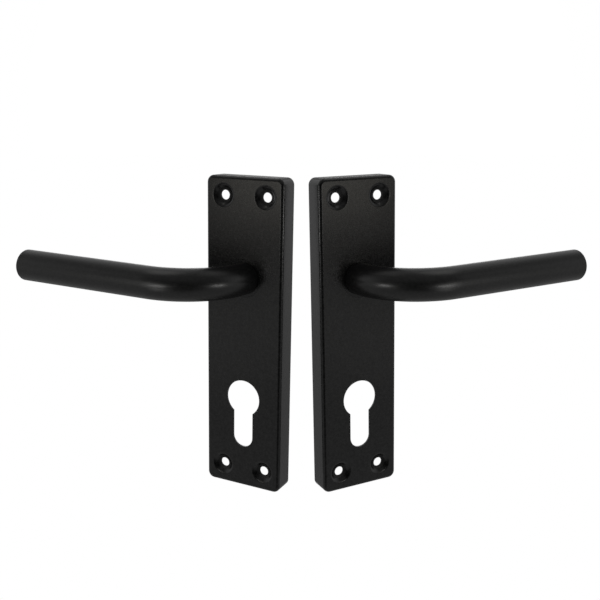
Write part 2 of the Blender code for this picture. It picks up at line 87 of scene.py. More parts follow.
# Backplate
PLATE_WALL = 1.3 * MM
PLATE_CORNER = 3.4 * MM
PLATE_EDGE = 1.6 * MM
RIM_ROUND = 0.3 * MM
INNER_FILLET = 0.4 * MM
HOLE_DIAMETER = 4.5 * MM
HOLE_FROM_SIDE = 9.1 * MM
HOLE_FROM_TOP = 8.9 * MM
HOLE_FROM_BOTTOM = 9.35 * MM
DISH_WIDTH = 3.6 * MM
DISH_DEPTH = 2.0 * MM
SEAT_THICKNESS = 0.6 * MM
SEAT_ROUND = 0.25 * MM
DISH_RIM = 0.7 * MM
CYLINDER_FROM_HUB = 58.9 * MM
CYLINDER_DIAMETER = 17.8 * MM
SLOT_WIDTH = 10.7 * MM
CUTOUT_HEIGHT = 33.8 * MM
CUT_ROUND = 0.15 * MM
HUB_ROUND = 0.04 * MM
BOSS_DIAMETER = 4.4 * MM
BOSS_FILLET = 0.4 * MM
BOSS_ROUND = 0.2 * MM

# Lever
BAR_DIAMETER = 15.0 * MM
BEND_RADIUS = 30.4 * MM
NECK_STRAIGHT = 1.0 * MM
BAR_RISE = math.radians(0.6)
TIP_ROUND = 0.6 * MM
SHOULDER = 0.6 * MM
SHANK_CHAMFER = 0.2 * MM
GROOVE_DEPTH = 0.5 * MM
FLAT_DEPTH = 0.6 * MM
SOCKET_SIZE = 8.2 * MM
SOCKET_DEPTH = 15.5 * MM
SOCKET_FLARE = 0.3 * MM

# Neck bush
BUSH_WALL = 0.8 * MM
BUSH_RECESS = 0.03 * MM
RUNNING_GAP = 0.04 * MM
FLANGE_WIDTH = 2.6 * MM
FLANGE_THICKNESS = 1.2 * MM
BUSH_ROUND = 0.15 * MM
NOSE_ROUND = 0.04 * MM

# Return spring
WIRE_DIAMETER = 1.0 * MM
SPRING_CLEARANCE = 0.4 * MM
SPRING_FULL_TURNS = 1
LEG_LENGTH = 8.0 * MM
LEG_CONTACT = 6.5 * MM
FIXED_LEG_ANGLE = math.radians(318)
FREE_LEG_ANGLE = math.radians(185)
WIRE_END_ROUND = 0.2 * MM

# Drive plate, circlip, cover and screws
DISC_MARGIN = 1.2 * MM
LUG_DIAMETER = 3.0 * MM
ARM_MARGIN = 0.8 * MM
FINGER_WIDTH = 5.0 * MM
FINGER_OVERLAP = 1.5 * MM
ARM_ROUND = 0.9 * MM
LEVER_TRAVEL = math.radians(45)
BOSS_CLEARANCE = 1.3 * MM
CIRCLIP_WIDTH = 1.6 * MM
CIRCLIP_OPENING = math.radians(50)
CIRCLIP_ROUND = 0.5 * MM
COVER_CORNER = 7.0 * MM
COVER_WINDOW = 0.6 * MM
SCREW_DIAMETER = 1.8 * MM
HEAD_DIAMETER = 4.0 * MM
HEAD_ROUND = 0.45 * MM
RECESS_LENGTH = 2.3 * MM
RECESS_WIDTH = 0.55 * MM
RECESS_DEPTH = 0.7 * MM
RECESS_TAPER = 0.4
RECESS_TURN = math.radians(45)
SHEET_ROUND = 0.12 * MM

# Facets
TURN_STEPS = 96
FINE_STEPS = 32
CORNER_STEPS = 12
EDGE_STEPS = 12
FILLET_STEPS = 5
DISH_STEPS = 28
BEND_STEPS = 60
BAR_STEPS = 24
COIL_STEPS = 64
WIRE_SIDES = 14
SHEET_STEPS = 2
SHARP_FROM = math.radians(32)

# Radii, most of them from the bar's
BAR_R = BAR_DIAMETER / 2
SHANK_R = BAR_R - SHOULDER
GROOVE_R = SHANK_R - GROOVE_DEPTH
FLAT_AT = SHANK_R - FLAT_DEPTH
NECK_BORE_R = BAR_R + GAP
NECK_SLEEVE_R = NECK_BORE_R + BUSH_WALL
HUB_HOLE_R = NECK_SLEEVE_R + GAP
NOSE_R = HUB_HOLE_R - RUNNING_GAP
NOSE_BORE_R = BAR_R + RUNNING_GAP
SHANK_BORE_R = SHANK_R + GAP
SPRING_SLEEVE_R = SHANK_BORE_R + BUSH_WALL
WIRE_R = WIRE_DIAMETER / 2
COIL_R = SPRING_SLEEVE_R + SPRING_CLEARANCE + WIRE_R
DISC_R = COIL_R + WIRE_R + DISC_MARGIN
LUG_R = LUG_DIAMETER / 2
BOSS_R = BOSS_DIAMETER / 2
STOP_R = DISC_R + BOSS_CLEARANCE + BOSS_R
CLIP_BORE_R = GROOVE_R + GAP
CLIP_R = CLIP_BORE_R + CIRCLIP_WIDTH
HOLE_R = HOLE_DIAMETER / 2
DISH_R = HOLE_R + DISH_WIDTH
SCREW_R = SCREW_DIAMETER / 2

# Camera, from the middle between the levers' axes
CAMERA_BACK = 352.93 * MM
CAMERA_UP = 71.1 * MM
CAMERA_PITCH = math.radians(12.95)
CAMERA_LENS = 46.457
CAMERA_SENSOR = 36.0
PICTURE_SIZE = 600
AXIS_RIGHT_PX = 1.43
AXIS_UP_PX = 0.4

# Light: levels of the surroundings by direction, where 1 is the picture's white
WORLD_CAMERA = 0.02
WORLD_FRONT = 0.1
WORLD_SIDE = 0.46
WORLD_BEHIND = 1.4
WORLD_TOP = 0.2
WORLD_LOW = 0.31

# Where those levels begin and end, along Y (-1 is the camera's side) or Z (1 is straight up)
CAMERA_FADE = (-0.97, -0.7)
SIDE_FADE = (-0.45, -0.2)
BEHIND_FADE = (0.92, 0.99)
TOP_FADE = (0.35, 0.8)
TOP_BACK_FADE = (0.25, 0.7)
LOW_FADE = (0.0, -0.45)
LOW_FRONT_FADE = (-0.92, -0.7)

# Light boxes: azimuth, elevation, distance, width, height, radiance, any colour; angles in degrees
NEAR = 336 * MM
FAR = 1100 * MM
LIGHT_COLOUR = (1.0, 0.99, 0.97)
WARM_COLOUR = (1.0, 0.96, 0.87)
LEVER_BOXES = (
    (36, -1.2, FAR, 18, 11, 5.2),
    (52, 2, FAR, 22, 26, 0.8),
    (43, -16, NEAR, 16, 12, 1.3),
    (-45, 2, NEAR, 15, 9, 7.8),
)
PLATE_BOXES = (
    (49, 11, NEAR, 27, 13, 1.1, WARM_COLOUR),
    (58, -11.5, NEAR, 36, 16, 0.19),
    (34, 8, NEAR, 10, 16, 2.2),
    (-70, 2, NEAR, 12, 14, 5.0),
)
TOP_BOXES = (
    (110, 70, FAR, 30, 24, 0.8),
    (-110, 70, FAR, 30, 24, 0.3),
)

# Floor and backdrop
FLOOR_HALF = 4.0
WHITE = (1.0, 1.0, 1.0, 1.0)

# Finish: greys, noise in cycles per metre, depths of relief, and how far roughness strays from its middle
NOISE_LOW = 0.3
NOISE_HIGH = 0.7
NOISE_DETAIL = 2.0
FINE_DETAIL = 3.0
COAT_GREY = 0.009
COAT_SPREAD = 0.02
COAT_GRAIN_SCALE = 2400.0
COAT_PEEL_SCALE = 700.0
COAT_SPECK_SCALE = 800.0
NYLON_DARK = (0.003, 0.003, 0.003)
NYLON_LIGHT = (0.006, 0.006, 0.006)
NYLON_ROUGH = 0.25
NYLON_SPREAD = 0.02
NYLON_CLOUD_SCALE = 250.0
NYLON_GRAIN_SCALE = 4000.0
NYLON_GRAIN = 0.02 * MM
WIRE_DARK = (0.15, 0.145, 0.14)
WIRE_LIGHT = (0.26, 0.25, 0.24)
WIRE_ROUGH = 0.38
WIRE_SPREAD = 0.08
WIRE_CLOUD_SCALE = 300.0
WIRE_LINES = (30.0, 60.0, 1.0)
WIRE_GRAIN = 0.01 * MM
STEEL_SPREAD = 0.07
STEEL_LINE_SCALE = 1500.0
STEEL_CLOUD_SCALE = 220.0
STEEL_GRAIN = 0.008 * MM


def half_of(name, flip):
    """One half: its axes as a matrix, with the lever's axis through the origin, and its bodies."""
    joint = next(j for j in frame["joints"] if j["name"] == name + "_lever_turn")
    front = Vector(joint["axis"])
    if front.y > 0:
        front.negate()
    up = Vector((-front.z / front.x, 0.0, 1.0)).normalized()
    axes = Matrix((up.cross(front), up, front)).transposed()
    matrix = Matrix.Translation(joint["pos_m"]) @ axes.to_4x4()
    return {
        "name": name,
        "flip": flip,
        "matrix": matrix,
        "fixed": joint["parent"],
        "lever": joint["child"],
        "lit_fixed": bpy.data.collections.new(name + "_fixed"),
        "lit_lever": bpy.data.collections.new(name + "_lever"),
    }


def local_box(node, half):
    """Lowest and highest corner of a solid in its half's own axes."""
    inward = half["matrix"].inverted()
    points = [inward @ vertex.co for vertex in frame["nodes"][node].data.vertices]
    return Vector(map(min, zip(*points))), Vector(map(max, zip(*points)))


HALVES = (half_of("left", 1), half_of("right", -1))
LEFT = HALVES[0]

# Places and levels of the solids
PLATE_LOW, PLATE_HIGH = local_box("backplate_left", LEFT)
LEVER_LOW = local_box("lever_left", LEFT)[0]
BUSH_END = local_box("neck_bush_left", LEFT)[0].z
SPRING_LOW, SPRING_HIGH = local_box("return_spring_left", LEFT)
WASHER_LOW, WASHER_HIGH = local_box("thrust_washer_left", LEFT)
CLIP_LOW, CLIP_HIGH = local_box("circlip_left", LEFT)
COVER_LOW, COVER_HIGH = local_box("spring_cover_left", LEFT)
SCREW_LOW, SCREW_HIGH = local_box("cover_screw_left_1", LEFT)
SCREW_PLACES = []
for number in (1, 2, 3):
    screw_low, screw_high = local_box(f"cover_screw_left_{number}", LEFT)
    SCREW_PLACES.append(((screw_low + screw_high) / 2).to_2d())
HALF_WIDTH = PLATE_HIGH.x
FLANGE_FRONT = -PLATE_WALL - GAP
FLANGE_BACK = FLANGE_FRONT - FLANGE_THICKNESS
NECK_END = FLANGE_BACK + GAP
COIL_FRONT = SPRING_HIGH.z - WIRE_R
COIL_BACK = SPRING_LOW.z + WIRE_R
DRIVE_FRONT = WASHER_LOW.z - GAP
DRIVE_BACK = COVER_HIGH.z + GAP
BOSS_END = COVER_HIGH.z + GAP
HEAD_FRONT = COVER_LOW.z - GAP
HOLE_PLACES = [
    Vector((side * (HALF_WIDTH - HOLE_FROM_SIDE), height))
    for height in (PLATE_HIGH.y - HOLE_FROM_TOP, PLATE_LOW.y + HOLE_FROM_BOTTOM)
    for side in (-1, 1)
]


def polar(radius, angle):
    return Vector((radius * math.cos(angle), radius * math.sin(angle)))


def arc(centre, radius, start, end, steps):
    return [Vector(centre) + polar(radius, start + (end - start) * i / steps) for i in range(steps + 1)]


def circle(centre, radius, steps):
    return arc(centre, radius, 0.0, math.tau, steps)[:-1]


def rounded(corners, steps=FILLET_STEPS):
    """A closed outline through corners (x, y, radius), each rounded by an arc of its radius."""
    points = []
    for index, (x, y, radius) in enumerate(corners):
        here = Vector((x, y))
        if not radius:
            points.append(here)
            continue
        before = (Vector(corners[index - 1][:2]) - here).normalized()
        after = (Vector(corners[(index + 1) % len(corners)][:2]) - here).normalized()
        half_angle = before.angle(after) / 2
        centre = here + (before + after).normalized() * radius / math.sin(half_angle)
        reach = radius / math.tan(half_angle)
        first = here + before * reach - centre
        last = here + after * reach - centre
        sweep = first.angle(last)
        for step in range(steps + 1):
            share = step / steps
            arm = math.sin((1 - share) * sweep) * first + math.sin(share * sweep) * last
            points.append(centre + arm / math.sin(sweep))
    return points


def round_over(radius, steps=EDGE_STEPS):
    """Insets and depths of a rounded edge, from the flat face out to the side."""
    angles = [math.pi / 2 * i / steps for i in range(steps + 1)]
    return [(radius * (1 - math.sin(a)), radius * (1 - math.cos(a))) for a in angles]


def at_level(outline, level):
    return [Vector((point.x, point.y, level)) for point in outline]


def finished_mesh(shape, name):
    """The mesh of a bmesh, welded and with its faces pointing out."""
    bmesh.ops.remove_doubles(shape, verts=shape.verts, dist=WELD)
    bmesh.ops.recalc_face_normals(shape, faces=shape.faces)
    mesh = bpy.data.meshes.new(name)
    shape.to_mesh(mesh)
    shape.free()
    return mesh


def loft_mesh(name, rings):
    """A closed mesh through rings of equally many points, with flat ends."""
    shape = bmesh.new()
    rows = [[shape.verts.new(point) for point in ring] for ring in rings]
    for row, other in zip(rows, rows[1:]):
        for i in range(len(row)):
            shape.faces.new((row[i - 1], row[i], other[i], other[i - 1]))
    shape.faces.new(rows[0])
    shape.faces.new(rows[-1])
    return finished_mesh(shape, name)


def turned_mesh(name, profile, steps=TURN_STEPS, place=(0.0, 0.0)):
    """A closed profile of radius and level, turned about Z and set at a place on the plate."""
    shape = bmesh.new()
    verts = [shape.verts.new((radius, 0.0, level)) for radius, level in profile]
    edges = [shape.edges.new((verts[i - 1], verts[i])) for i in range(len(verts))]
    bmesh.ops.spin(
        shape,
        geom=verts + edges,
        axis=(0.0, 0.0, 1.0),
        cent=(0.0, 0.0, 0.0),
        angle=math.tau,
        steps=steps,
        use_merge=True,
    )
    bmesh.ops.translate(shape, vec=(*place, 0.0), verts=shape.verts)
    return finished_mesh(shape, name)


def swept_mesh(name, route, radii, sides):
    """A round bar along a route, each ring square to it, with a UV map round and along the bar."""
    shape = bmesh.new()
    uv = shape.loops.layers.uv.new("along")
    tangents = []
    for index in range(len(route)):
        ahead = route[min(index + 1, len(route) - 1)]
        behind = route[max(index - 1, 0)]
        tangents.append((ahead - behind).normalized())
    side = tangents[0].orthogonal().normalized()
    rows = []
    lengths = [0.0]
    for index, (centre, radius) in enumerate(zip(route, radii)):
        if index:
            side.rotate(tangents[index - 1].rotation_difference(tangents[index]))
            lengths.append(lengths[-1] + (centre - route[index - 1]).length)
        other = tangents[index].cross(side)
        spokes = [polar(radius, math.tau * i / sides) for i in range(sides)]
        rows.append([shape.verts.new(centre + side * spoke.x + other * spoke.y) for spoke in spokes])
    for index, (row, after) in enumerate(zip(rows, rows[1:])):
        for i in range(sides):
            face = shape.faces.new((row[i - 1], row[i], after[i], after[i - 1]))
            turns = ((i - 1) % sides, (i - 1) % sides + 1, (i - 1) % sides + 1, (i - 1) % sides)
            along = (lengths[index], lengths[index], lengths[index + 1], lengths[index + 1])
            for loop, around, length in zip(face.loops, turns, along):
                loop[uv].uv = (around / sides, length)
    shape.faces.new(rows[0])
    shape.faces.new(rows[-1])
    return finished_mesh(shape, name)


def mesh_of(item, name):
    """The evaluated mesh of an object that is then removed."""
    bpy.context.scene.collection.objects.link(item)
    bpy.context.view_layer.update()
    evaluated = item.evaluated_get(bpy.context.evaluated_depsgraph_get())
    shape = bmesh.new()
    shape.from_mesh(bpy.data.meshes.new_from_object(evaluated))
    bpy.data.objects.remove(item)
    return finished_mesh(shape, name)


def sheet_mesh(name, outlines, front, back, edge=SHEET_ROUND):
    """A flat plate between two levels with rounded edges; outlines after the first are its holes."""
    curve = bpy.data.curves.new(name, "CURVE")
    curve.dimensions = "2D"
    curve.fill_mode = "BOTH"
    curve.extrude = (front - back) / 2 - edge
    curve.bevel_depth = edge
    curve.bevel_resolution = SHEET_STEPS
    curve.offset = -edge
    for outline in outlines:
        spline = curve.splines.new("POLY")
        spline.points.add(len(outline) - 1)
        for index, point in enumerate(outline):
            spline.points[index].co = (point.x, point.y, 0.0, 1.0)
        spline.use_cyclic_u = True
    mesh = mesh_of(bpy.data.objects.new(name, curve), name)
    mesh.transform(Matrix.Translation((0.0, 0.0, (front + back) / 2)))
    return mesh


def carved_mesh(name, mesh, steps):
    """A mesh after its (operation, tool mesh) steps, in order."""
    item = bpy.data.objects.new(name, mesh)
    tools = []
    for operation, tool_mesh in steps:
        tool = bpy.data.objects.new(tool_mesh.name, tool_mesh)
        bpy.context.scene.collection.objects.link(tool)
        tools.append(tool)
        modifier = item.modifiers.new(tool.name, "BOOLEAN")
        modifier.operation = operation
        modifier.solver = "EXACT"
        modifier.object = tool
    carved = mesh_of(item, name)
    for tool in tools:
        bpy.data.objects.remove(tool)
    return carved


def plate_ring(inset, level):
    """Outline of the plate, drawn in by inset, at a level."""
    right = HALF_WIDTH - inset
    top = PLATE_HIGH.y - inset
    bottom = PLATE_LOW.y + inset
    radius = PLATE_CORNER - inset
    corners = [
        (right, top, radius),
        (-right, top, radius),
        (-right, bottom, radius),
        (right, bottom, radius),
    ]
    return at_level(rounded(corners, CORNER_STEPS), level)


def cutout_ring(grow, level):
    """Keyhole outline of a profile cylinder, widened by grow, at a level."""
    centre = Vector((0.0, -CYLINDER_FROM_HUB))
    radius = CYLINDER_DIAMETER / 2 + grow
    half_slot = SLOT_WIDTH / 2 + grow
    mouth = math.asin(half_slot / radius)
    foot = centre + Vector((0.0, CYLINDER_DIAMETER / 2 - CUTOUT_HEIGHT + SLOT_WIDTH / 2))
    upper = arc(centre, radius, mouth - math.pi / 2, 1.5 * math.pi - mouth, 4 * CORNER_STEPS)
    lower = arc(foot, half_slot, math.pi, math.tau, 2 * CORNER_STEPS)
    return at_level(upper + lower, level)


def plate_body():
    rings = [plate_ring(inset, -depth) for inset, depth in round_over(PLATE_EDGE)]
    rim = reversed(round_over(RIM_ROUND, FILLET_STEPS))
    rings += [plate_ring(inset, PLATE_LOW.z + depth) for inset, depth in rim]
    return loft_mesh("plate_body", rings)


def plate_hollow():
    """Inside of the shell, with a fillet behind the front wall and a round inner rim."""
    fillet = round_over(INNER_FILLET, FILLET_STEPS)
    rings = [plate_ring(PLATE_WALL + inset, -PLATE_WALL - depth) for inset, depth in fillet]
    rim = reversed(round_over(RIM_ROUND, FILLET_STEPS))
    rings += [plate_ring(PLATE_WALL - inset, PLATE_LOW.z + depth) for inset, depth in rim]
    rings.append(plate_ring(PLATE_WALL - RIM_ROUND, 2 * PLATE_LOW.z))
    return loft_mesh("hollow", rings)


def plate_cutout():
    """Cutter of the cylinder's cut-out, which rounds its edges on both sides of the wall."""
    front = [(grow, -depth) for grow, depth in round_over(CUT_ROUND, FILLET_STEPS)]
    back = [(grow, depth - PLATE_WALL) for grow, depth in reversed(round_over(CUT_ROUND, FILLET_STEPS))]
    outer = [(CUT_ROUND, OVERLAP)]
    inner = [(CUT_ROUND, -PLATE_WALL - OVERLAP)]
    return loft_mesh("cutout", [cutout_ring(*ring) for ring in outer + front + back + inner])


def hub_hole():
    profile = [(0.0, OVERLAP), (HUB_HOLE_R + HUB_ROUND, OVERLAP)]
    profile += [(HUB_HOLE_R + grow, -depth) for grow, depth in round_over(HUB_ROUND, FILLET_STEPS)]
    profile += [(HUB_HOLE_R, -PLATE_WALL - OVERLAP), (0.0, -PLATE_WALL - OVERLAP)]
    return turned_mesh("hub_hole", profile)


def dish_cutter(place):
    """Fixing hole with a soft dish: an even S from the face down to a flat seat, then the bore."""
    below = -DISH_DEPTH - SEAT_THICKNESS - OVERLAP
    profile = [(0.0, OVERLAP), (DISH_R, OVERLAP)]
    for i in range(DISH_STEPS + 1):
        share = i / DISH_STEPS
        fall = (1 - math.cos(math.pi * share)) / 2
        profile.append((DISH_R - DISH_WIDTH * share, -2 * WELD - DISH_DEPTH * fall))
    profile += [(HOLE_R, below), (0.0, below)]
    return turned_mesh("dish", profile, TURN_STEPS, place)


def seat_block(place):
    """Metal behind a dish, from inside the wall to the back of the seat."""
    radius = DISH_R + DISH_RIM
    front = -PLATE_WALL / 2
    back = -DISH_DEPTH - SEAT_THICKNESS
    corners = [(0.0, front, 0), (radius, front, 0), (radius, back, SEAT_ROUND), (0.0, back, 0)]
    return turned_mesh("seat", rounded(corners), TURN_STEPS, place)


def boss_block(place):
    """Boss with a fillet where it leaves the wall and a round end."""
    corners = [
        (0.0, -PLATE_WALL / 2, 0),
        (BOSS_R + 2 * BOSS_FILLET, -PLATE_WALL / 2, 0),
        (BOSS_R + 2 * BOSS_FILLET, -PLATE_WALL, 0),
        (BOSS_R, -PLATE_WALL, BOSS_FILLET),
        (BOSS_R, BOSS_END, BOSS_ROUND),
        (0.0, BOSS_END, 0),
    ]
    return turned_mesh("boss", rounded(corners), FINE_STEPS, place)


def pilot_hole(place):
    top = SCREW_HIGH.z + OVERLAP
    profile = [(0.0, top), (SCREW_R + GAP, top), (SCREW_R + GAP, 2 * BOSS_END), (0.0, 2 * BOSS_END)]
    return turned_mesh("pilot", profile, FINE_STEPS, place)


def backplate_mesh():
    """Cast shell with its holes, cut-out and bosses; its second material is the rough coating inside."""
    steps = [("DIFFERENCE", plate_hollow())]
    steps += [("UNION", seat_block(place)) for place in HOLE_PLACES]
    steps += [("UNION", boss_block(place)) for place in SCREW_PLACES]
    steps += [("DIFFERENCE", pilot_hole(place)) for place in SCREW_PLACES]
    steps += [("DIFFERENCE", dish_cutter(place)) for place in HOLE_PLACES]
    steps += [("DIFFERENCE", hub_hole()), ("DIFFERENCE", plate_cutout())]
    mesh = carved_mesh("backplate", plate_body(), steps)
    inner_x = HALF_WIDTH - PLATE_WALL + WELD
    for face in mesh.polygons:
        face.material_index = int(face.center.z < -PLATE_WALL + WELD and abs(face.center.x) < inner_x)
    return mesh


def bush_mesh():
    """Flanged bush: its nose lines the hub hole, its rear sleeve carries the spring."""
    flange_r = NECK_SLEEVE_R + FLANGE_WIDTH
    corners = [
        (NOSE_R, -BUSH_RECESS, NOSE_ROUND),
        (NOSE_R, FLANGE_FRONT, 0),
        (flange_r, FLANGE_FRONT, BUSH_ROUND),
        (flange_r, FLANGE_BACK, BUSH_ROUND),
        (SPRING_SLEEVE_R, FLANGE_BACK, BUSH_ROUND),
        (SPRING_SLEEVE_R, BUSH_END, BUSH_ROUND),
        (SHANK_BORE_R, BUSH_END, BUSH_ROUND),
        (SHANK_BORE_R, FLANGE_BACK, 0),
        (NOSE_BORE_R, FLANGE_BACK, 0),
        (NOSE_BORE_R, -BUSH_RECESS, NOSE_ROUND),
    ]
    return turned_mesh("neck_bush", rounded(corners))


def bar_route():
    """Centreline and radius of the bar from its neck to its tip, as the bend's arc and straight runs."""
    reach = -LEVER_LOW.x
    height = NECK_STRAIGHT + BEND_RADIUS
    path = [(Vector((0.0, NECK_END)), BAR_R), (Vector((0.0, 0.0)), BAR_R)]
    bend = arc((-BEND_RADIUS, NECK_STRAIGHT), BEND_RADIUS, 0.0, math.pi / 2, BEND_STEPS)
    path += [(point, BAR_R) for point in bend]
    straight = reach - TIP_ROUND - BEND_RADIUS
    for i in range(1, BAR_STEPS):
        path.append((Vector((-BEND_RADIUS - straight * i / BAR_STEPS, height)), BAR_R))
    for inset, depth in reversed(round_over(TIP_ROUND)):
        path.append((Vector((depth - reach, height)), BAR_R - inset))
    rise = math.tan(BAR_RISE)
    route = [Vector((point.x, -point.x * rise, point.y)) for point, _ in path]
    return route, [radius for _, radius in path]


def shank_block():
    """Turned shank with a groove for the circlip, from inside the neck to its rear end."""
    end = LEVER_LOW.z
    top = NECK_END + OVERLAP
    corners = [
        (0.0, top, 0),
        (SHANK_R, top, 0),
        (SHANK_R, DRIVE_BACK, 0),
        (GROOVE_R, DRIVE_BACK, 0),
        (GROOVE_R, CLIP_LOW.z - GAP, 0),
        (SHANK_R, CLIP_LOW.z - GAP, 0),
        (SHANK_R, end, SHANK_CHAMFER),
        (0.0, end, 0),
    ]
    return turned_mesh("shank", rounded(corners))


def flat_cutter(side):
    near = side * FLAT_AT
    far = side * 2 * SHANK_R
    square = [Vector((near, -far)), Vector((far, -far)), Vector((far, far)), Vector((near, far))]
    return loft_mesh("flat", [at_level(square, WASHER_LOW.z), at_level(square, 2 * LEVER_LOW.z)])


def socket_cutter():
    """Square socket for the spindle, flared at its mouth."""
    end = LEVER_LOW.z

    def square(grow):
        half = SOCKET_SIZE / 2 + grow
        return [Vector((half, half)), Vector((-half, half)), Vector((-half, -half)), Vector((half, -half))]

    levels = [
        (0.0, end + SOCKET_DEPTH),
        (0.0, end + SOCKET_FLARE),
        (SOCKET_FLARE, end),
        (SOCKET_FLARE, 2 * end),
    ]
    return loft_mesh("socket", [at_level(square(grow), level) for grow, level in levels])


def lever_mesh():
    route, radii = bar_route()
    bar = swept_mesh("lever", route, radii, TURN_STEPS)
    steps = [("UNION", shank_block())]
    steps += [("DIFFERENCE", flat_cutter(side)) for side in (-1, 1)]
    steps.append(("DIFFERENCE", socket_cutter()))
    return carved_mesh("lever", bar, steps)


def spring_mesh():
    """Torsion spring of round wire: the fixed leg, the coil and the free leg."""
    sweep = SPRING_FULL_TURNS * math.tau + (FREE_LEG_ANGLE - FIXED_LEG_ANGLE) % math.tau
    steps = math.ceil(COIL_STEPS * sweep / math.tau)
    coil = []
    for i in range(steps + 1):
        place = polar(COIL_R, FIXED_LEG_ANGLE + sweep * i / steps)
        coil.append(place.to_3d() + Vector((0.0, 0.0, COIL_FRONT + (COIL_BACK - COIL_FRONT) * i / steps)))
    fixed_way = polar(1.0, FIXED_LEG_ANGLE - math.pi / 2).to_3d()
    free_way = polar(1.0, FREE_LEG_ANGLE + math.pi / 2).to_3d()
    ends = round_over(WIRE_END_ROUND, FILLET_STEPS)
    route = [coil[0] + fixed_way * (LEG_LENGTH - depth) for _, depth in ends]
    route += coil
    route += [coil[-1] + free_way * (LEG_LENGTH - depth) for _, depth in reversed(ends)]
    taper = [WIRE_R - inset for inset, _ in ends]
    return swept_mesh("return_spring", route, taper + [WIRE_R] * len(coil) + taper[::-1], WIRE_SIDES)


def washer_mesh():
    corners = [
        (SPRING_SLEEVE_R, WASHER_HIGH.z, SHEET_ROUND),
        (SPRING_SLEEVE_R, WASHER_LOW.z, SHEET_ROUND),
        (SHANK_BORE_R, WASHER_LOW.z, SHEET_ROUND),
        (SHANK_BORE_R, WASHER_HIGH.z, SHEET_ROUND),
    ]
    return turned_mesh("thrust_washer", rounded(corners))


def lug_place():
    """The lug stands on the outer side of the free leg, which leaves the coil on a tangent."""
    along = polar(LEG_CONTACT, FREE_LEG_ANGLE + math.pi / 2)
    return polar(COIL_R + WIRE_R + GAP + LUG_R, FREE_LEG_ANGLE) + along


def drive_outline():
    """Disc with two round-cornered arms: the stop finger and the arm of the spring lug."""
    lug = lug_place()
    arms = sorted(
        [
            (math.pi / 2 - LEVER_TRAVEL / 2, FINGER_WIDTH / 2, STOP_R + FINGER_OVERLAP),
            (math.atan2(lug.y, lug.x) % math.tau, LUG_R + ARM_MARGIN, lug.length + LUG_R + ARM_MARGIN),
        ]
    )
    corners = []
    for index, (angle, half_width, reach) in enumerate(arms):
        out = polar(1.0, angle)
        across = polar(1.0, angle + math.pi / 2)
        corners.append((*(out * reach - across * half_width), ARM_ROUND))
        corners.append((*(out * reach + across * half_width), ARM_ROUND))
        next_angle, next_half, _ = arms[(index + 1) % len(arms)]
        start = angle + math.asin(half_width / DISC_R)
        end = next_angle - math.asin(next_half / DISC_R)
        end += math.tau if end < start else 0.0
        corners += [(*point, 0) for point in arc((0.0, 0.0), DISC_R, start, end, TURN_STEPS // 2)]
    return rounded(corners)


def shank_hole():
    """Round hole with two flats that keys the drive plate to the shank."""
    corner = math.acos((FLAT_AT + GAP) / SHANK_BORE_R)
    upper = arc((0.0, 0.0), SHANK_BORE_R, corner, math.pi - corner, FINE_STEPS)
    lower = arc((0.0, 0.0), SHANK_BORE_R, math.pi + corner, math.tau - corner, FINE_STEPS)
    return upper + lower


def drive_plate_mesh():
    blank = sheet_mesh("drive_plate", [drive_outline(), shank_hole()], DRIVE_FRONT, DRIVE_BACK)
    middle = (DRIVE_FRONT + DRIVE_BACK) / 2
    top = COIL_BACK + WIRE_DIAMETER
    corners = [(0.0, top, 0), (LUG_R, top, BOSS_ROUND), (LUG_R, middle, 0), (0.0, middle, 0)]
    lug = turned_mesh("lug", rounded(corners[::-1]), FINE_STEPS, lug_place())
    return carved_mesh("drive_plate", blank, [("UNION", lug)])


def circlip_mesh():
    """Open ring in the shank's groove, with its opening downwards and round ends."""
    start = CIRCLIP_OPENING / 2 - math.pi / 2
    end = 1.5 * math.pi - CIRCLIP_OPENING / 2
    outer = [(*point, 0) for point in arc((0.0, 0.0), CLIP_R, start, end, TURN_STEPS)]
    inner = [(*point, 0) for point in arc((0.0, 0.0), CLIP_BORE_R, end, start, TURN_STEPS)]
    for run in (outer, inner):
        run[0] = (*run[0][:2], CIRCLIP_ROUND)
        run[-1] = (*run[-1][:2], CIRCLIP_ROUND)
    return sheet_mesh("circlip", [rounded(outer + inner)], CLIP_HIGH.z, CLIP_LOW.z)


def cover_mesh():
    """Sheet cover over the spring and the drive plate, with its window and screw holes."""
    corners = [
        (COVER_HIGH.x, COVER_HIGH.y, COVER_CORNER),
        (COVER_LOW.x, COVER_HIGH.y, COVER_CORNER),
        (COVER_LOW.x, COVER_LOW.y, COVER_CORNER),
        (COVER_HIGH.x, COVER_LOW.y, COVER_CORNER),
    ]
    holes = [circle((0.0, 0.0), CLIP_R + COVER_WINDOW, TURN_STEPS)]
    holes += [circle(place, SCREW_R + GAP, FINE_STEPS) for place in SCREW_PLACES]
    return sheet_mesh("spring_cover", [rounded(corners, CORNER_STEPS)] + holes, COVER_HIGH.z, COVER_LOW.z)


def recess_cutter(turn):
    """One tapering bar of a cross recess."""
    head = SCREW_LOW.z

    def bar(share):
        half = Vector((RECESS_LENGTH / 2 * share, RECESS_WIDTH / 2 * share))
        corners = [(half.x, half.y), (-half.x, half.y), (-half.x, -half.y), (half.x, -half.y)]
        return [Matrix.Rotation(turn, 2) @ Vector(corner) for corner in corners]

    levels = [(RECESS_TAPER, head + RECESS_DEPTH), (1.0, head), (1.0, head - OVERLAP)]
    return loft_mesh("recess", [at_level(bar(share), level) for share, level in levels])


